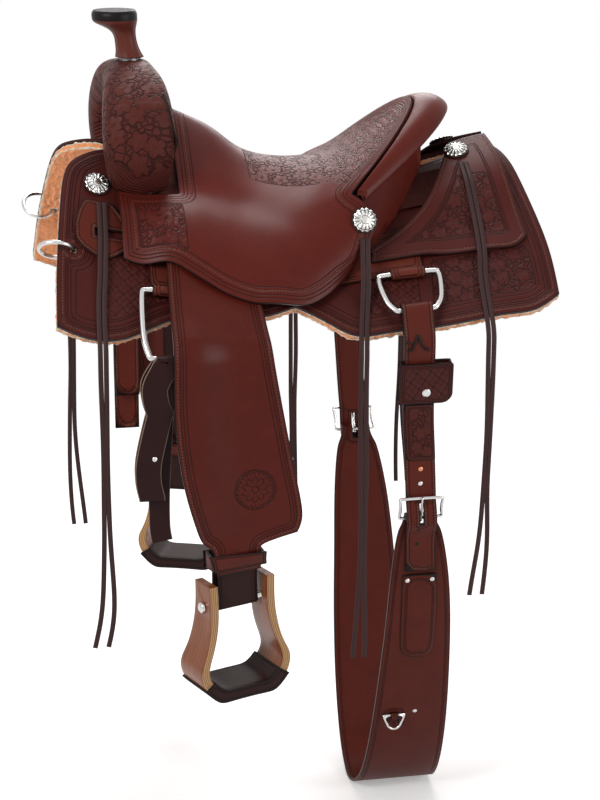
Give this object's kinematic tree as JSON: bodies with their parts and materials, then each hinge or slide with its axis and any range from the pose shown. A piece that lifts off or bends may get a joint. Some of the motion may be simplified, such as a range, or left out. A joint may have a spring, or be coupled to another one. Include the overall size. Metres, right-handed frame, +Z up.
{
  "type": "western saddle",
  "caption": "Ranch cutting saddle: leather seat on a wooden tree with a tall horn, tooled skirts, fenders with oak stirrups, rigging dees, saddle strings and a wide flank cinch",
  "frame": {"origin": "where the rack that carries the saddle bears on it, midway between the two sides, under the seat's low point", "axes": "+Z up, -X towards the horse's head, +X towards its tail, -Y the near (left) side, +Y the off side"},
  "size_m": [0.7386, 0.6434, 1.243],
  "materials": {
    "smooth_leather": "smooth, oiled, satin",
    "tooled_leather": "hand tooled, antiqued, satin",
    "dark_leather": "dark, burnished",
    "latigo_leather": "oil tanned, soft",
    "string_leather": "oil tanned, matte",
    "sheepskin": "short golden wool",
    "rawhide": "wood under a rawhide skin",
    "oak": "bent oak, oiled",
    "stainless": "polished stainless steel",
    "silver": "engraved silver plate on a leather rosette",
    "steel": "bare steel, hidden"
  },
  "bodies": {
    "tree": {"tree_bar_near": "rawhide", "tree_bar_off": "rawhide", "tree_fork": "rawhide", "tree_cantle": "rawhide", "horn_core": "steel", "ground_seat": "steel", "fork_cover": "tooled_leather", "horn_cover": "dark_leather", "seat_cover": "smooth_leather", "cantle_back": "smooth_leather", "skirt_near": "tooled_leather", "skirt_off": "tooled_leather", "fleece_near": "sheepskin", "fleece_off": "sheepskin", "back_jockey_near": "tooled_leather", "back_jockey_off": "tooled_leather", "latigo_keeper": "smooth_leather", "rigging_near": "smooth_leather", "rigging_off": "smooth_leather", "rear_dee_near": "stainless", "rear_dee_off": "stainless", "concho_front_near": "silver", "concho_front_off": "silver", "concho_mid_near": "silver", "concho_mid_off": "silver", "concho_rear_near": "silver", "concho_rear_off": "silver", "strings_front_near": "string_leather", "strings_front_off": "string_leather", "strings_mid_near": "string_leather", "strings_mid_off": "string_leather", "strings_rear_near": "string_leather", "strings_rear_off": "string_leather"},
    "leathers_near": {"fender_near": "smooth_leather", "stirrup_leather_near": "dark_leather", "hobble_strap_near": "dark_leather"},
    "leathers_off": {"fender_off": "smooth_leather", "stirrup_leather_off": "dark_leather", "hobble_strap_off": "dark_leather"},
    "stirrup_near": {"stirrup_near": "oak", "stirrup_bolt_near": "stainless", "tread_cover_near": "dark_leather"},
    "stirrup_off": {"stirrup_off": "oak", "stirrup_bolt_off": "stainless", "tread_cover_off": "dark_leather"},
    "front_dee_near": {"front_dee_near": "stainless"},
    "front_dee_off": {"front_dee_off": "stainless"},
    "latigo": {"latigo": "latigo_leather"},
    "off_billet": {"off_billet": "smooth_leather"},
    "breast_dee_near": {"breast_dee_near": "stainless"},
    "breast_dee_off": {"breast_dee_off": "stainless"},
    "cinch": {"flank_cinch": "smooth_leather", "flank_billet_near": "smooth_leather", "flank_billet_off": "smooth_leather", "buckle_near": "stainless", "buckle_off": "stainless", "snap_keeper": "smooth_leather"},
    "cinch_ring": {"cinch_ring": "stainless"},
    "tongue_near": {"buckle_tongue_near": "stainless"},
    "tongue_off": {"buckle_tongue_off": "stainless"}
  },
  "joints": [
    {"name": "leathers_swing_near", "type": "hinge", "parent": "tree", "child": "leathers_near", "pos_m": [-0.146, -0.15, -0.02], "axis": [0, 1, 0], "range_deg": [-25, 25], "deforming": ["fender_near", "stirrup_leather_near", "strings_front_near", "strings_mid_near"]},
    {"name": "leathers_swing_off", "type": "hinge", "parent": "tree", "child": "leathers_off", "pos_m": [-0.146, 0.15, -0.02], "axis": [0, 1, 0], "range_deg": [-25, 25], "deforming": ["fender_off", "stirrup_leather_off", "strings_front_off", "strings_mid_off"]},
    {"name": "stirrup_pivot_near", "type": "hinge", "parent": "leathers_near", "child": "stirrup_near", "pos_m": [-0.146, -0.26285, -0.505], "axis": [-0.9336, -0.3584, 0], "range_deg": [-40, 40]},
    {"name": "stirrup_pivot_off", "type": "hinge", "parent": "leathers_off", "child": "stirrup_off", "pos_m": [-0.146, 0.26285, -0.505], "axis": [-0.9336, 0.3584, 0], "range_deg": [-40, 40]},
    {"name": "front_dee_lift_near", "type": "hinge", "parent": "tree", "child": "front_dee_near", "pos_m": [-0.22504, -0.21044, -0.05901], "axis": [-0.9886, -0.0001, 0.1504], "range_deg": [0, 60]},
    {"name": "front_dee_lift_off", "type": "hinge", "parent": "tree", "child": "front_dee_off", "pos_m": [-0.22504, 0.21044, -0.05901], "axis": [0.9886, -0.0001, -0.1504], "range_deg": [0, 60]},
    {"name": "latigo_swing", "type": "hinge", "parent": "front_dee_near", "child": "latigo", "pos_m": [-0.23734, -0.27464, -0.1399], "axis": [-0.9886, -0.0001, 0.1504], "range_deg": [0, 60]},
    {"name": "off_billet_swing", "type": "hinge", "parent": "front_dee_off", "child": "off_billet", "pos_m": [-0.23734, 0.27464, -0.1399], "axis": [0.9886, -0.0001, -0.1504], "range_deg": [0, 60]},
    {"name": "breast_dee_tilt_near", "type": "hinge", "parent": "tree", "child": "breast_dee_near", "pos_m": [-0.35489, -0.1639, -0.00723], "axis": [0.1146, -0.7877, 0.6054], "range_deg": [-30, 30]},
    {"name": "breast_dee_tilt_off", "type": "hinge", "parent": "tree", "child": "breast_dee_off", "pos_m": [-0.35489, 0.1639, -0.00723], "axis": [0.1146, 0.7877, 0.6054], "range_deg": [-30, 30]},
    {"name": "cinch_swing", "type": "hinge", "parent": "tree", "child": "cinch", "pos_m": [0.1226, 0, -0.0947], "axis": [0, 1, 0], "range_deg": [-25, 25], "deforming": ["flank_billet_near", "flank_billet_off"]},
    {"name": "tongue_turn_near", "type": "hinge", "parent": "cinch", "child": "tongue_near", "pos_m": [0.13661, -0.22215, -0.41204], "axis": [1, 0, 0], "range_deg": [0, 100]},
    {"name": "tongue_turn_off", "type": "hinge", "parent": "cinch", "child": "tongue_off", "pos_m": [0.13661, 0.22215, -0.41204], "axis": [-1, 0, 0], "range_deg": [0, 100]},
    {"name": "cinch_ring_lift", "type": "hinge", "parent": "cinch", "child": "cinch_ring", "pos_m": [0.119, -0.14974, -0.76213], "axis": [-1, 0, 0], "range_deg": [0, 90]}
  ]
}
